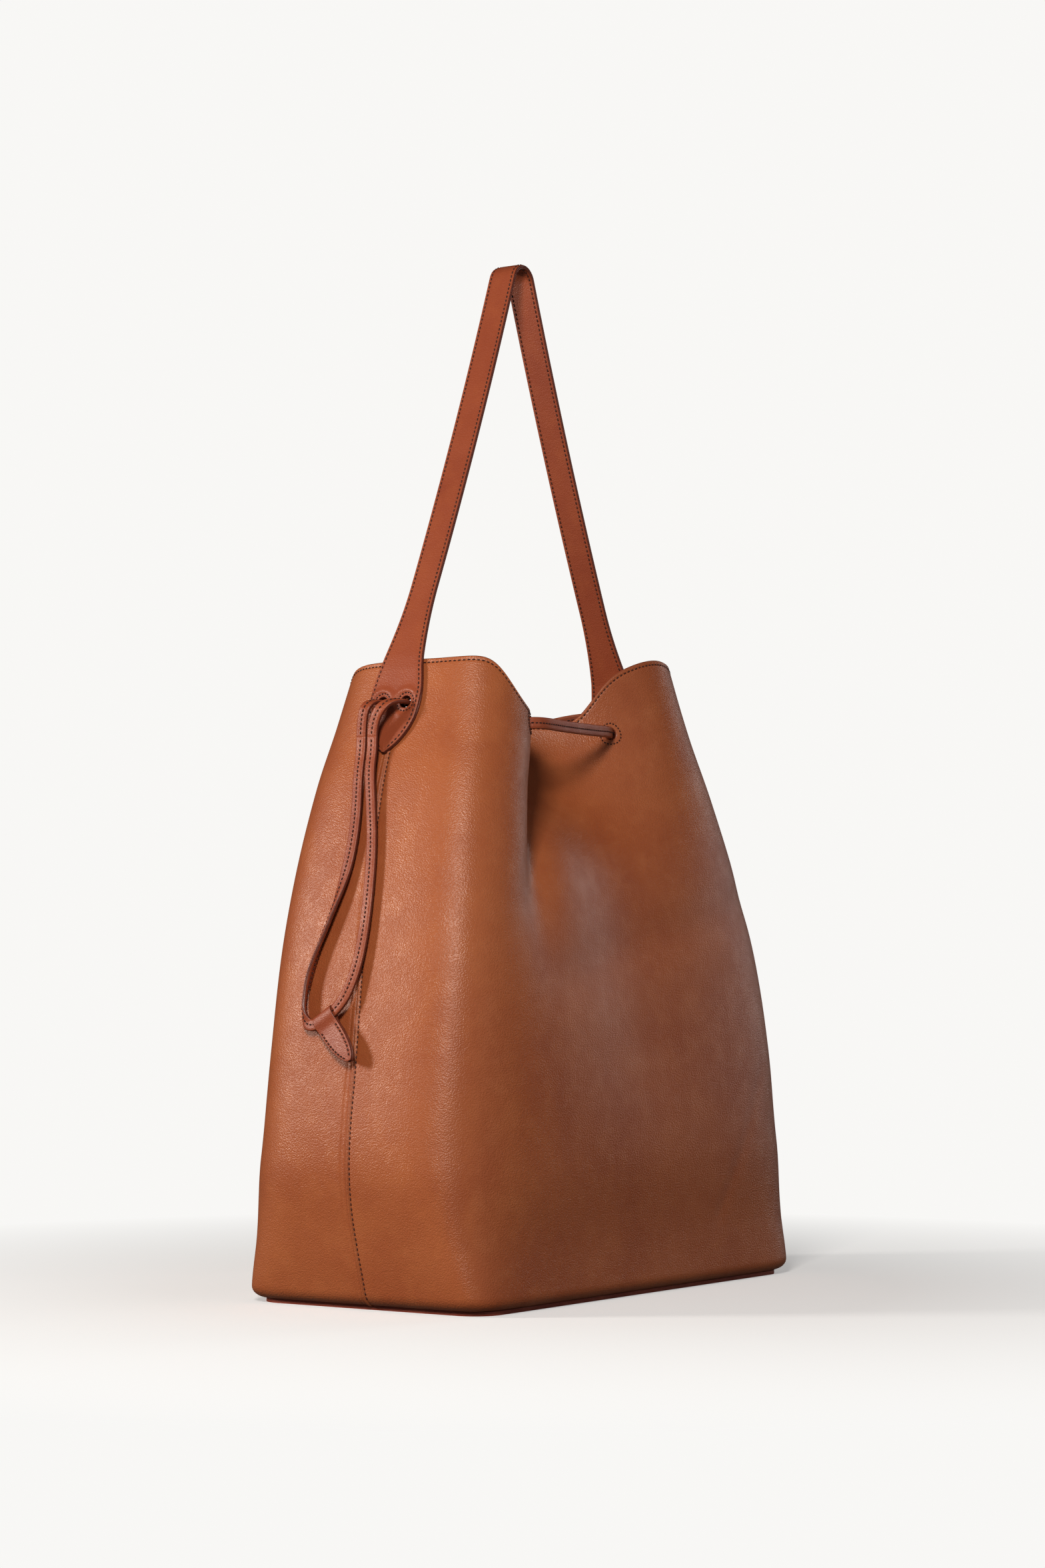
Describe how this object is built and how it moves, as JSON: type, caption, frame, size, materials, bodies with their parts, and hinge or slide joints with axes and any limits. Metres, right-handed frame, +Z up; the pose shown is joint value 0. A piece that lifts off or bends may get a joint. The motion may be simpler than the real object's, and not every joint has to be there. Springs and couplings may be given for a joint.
{
  "type": "bucket bag",
  "caption": "Open leather bucket bag with a drawstring mouth, a folding shoulder strap sewn on with stitched tabs, and hanging pulls.",
  "frame": {"origin": "on the ground at the centre of the base", "axes": "+Z up, X along the wide front with the side seams at -X and +X, -Y is the front"},
  "size_m": [0.4733, 0.2225, 0.7882],
  "materials": {
    "body_leather": "grained cowhide in cognac, satin",
    "trim_leather": "smooth strap leather with stitching and painted edges, satin",
    "base_leather": "firm sole leather, satin",
    "facing_leather": "thin smooth lining leather, satin",
    "insole_leather": "undyed flesh side, matt"
  },
  "bodies": {
    "root": {"front_panel": "body_leather", "back_panel": "body_leather", "front_facing": "facing_leather", "back_facing": "facing_leather", "base_panel": "base_leather", "base_insole": "insole_leather", "left_tab_outer": "trim_leather", "left_tab_lining": "trim_leather", "right_tab_outer": "trim_leather", "right_tab_lining": "trim_leather", "front_drawstring": "trim_leather", "back_drawstring": "trim_leather"},
    "strap": {"strap_outer": "trim_leather", "strap_lining": "trim_leather"},
    "left_loop": {"left_drawstring_loop": "trim_leather"},
    "right_loop": {"right_drawstring_loop": "trim_leather"},
    "left_pull": {"left_pull_tab": "trim_leather"},
    "right_pull": {"right_pull_tab": "trim_leather"}
  },
  "joints": [
    {"name": "strap_fold", "type": "hinge", "parent": "root", "child": "strap", "pos_m": [-0.009, 0.012, 0.5], "axis": [1, 0, 0], "range_deg": [-80, 80]},
    {"name": "left_loop_swing", "type": "hinge", "parent": "root", "child": "left_loop", "pos_m": [-0.1789, 0.0235, 0.412], "axis": [0, 1, 0], "range_deg": [0, 90]},
    {"name": "right_loop_swing", "type": "hinge", "parent": "root", "child": "right_loop", "pos_m": [0.16246, 0.0235, 0.412], "axis": [0, -1, 0], "range_deg": [0, 90]},
    {"name": "left_pull_swing", "type": "hinge", "parent": "left_loop", "child": "left_pull", "pos_m": [-0.22964, 0.022, 0.207], "axis": [0, 0.848, -0.5299], "range_deg": [0, 100]},
    {"name": "right_pull_swing", "type": "hinge", "parent": "right_loop", "child": "right_pull", "pos_m": [0.22813, 0.022, 0.207], "axis": [0, -0.848, 0.5299], "range_deg": [0, 100]}
  ]
}
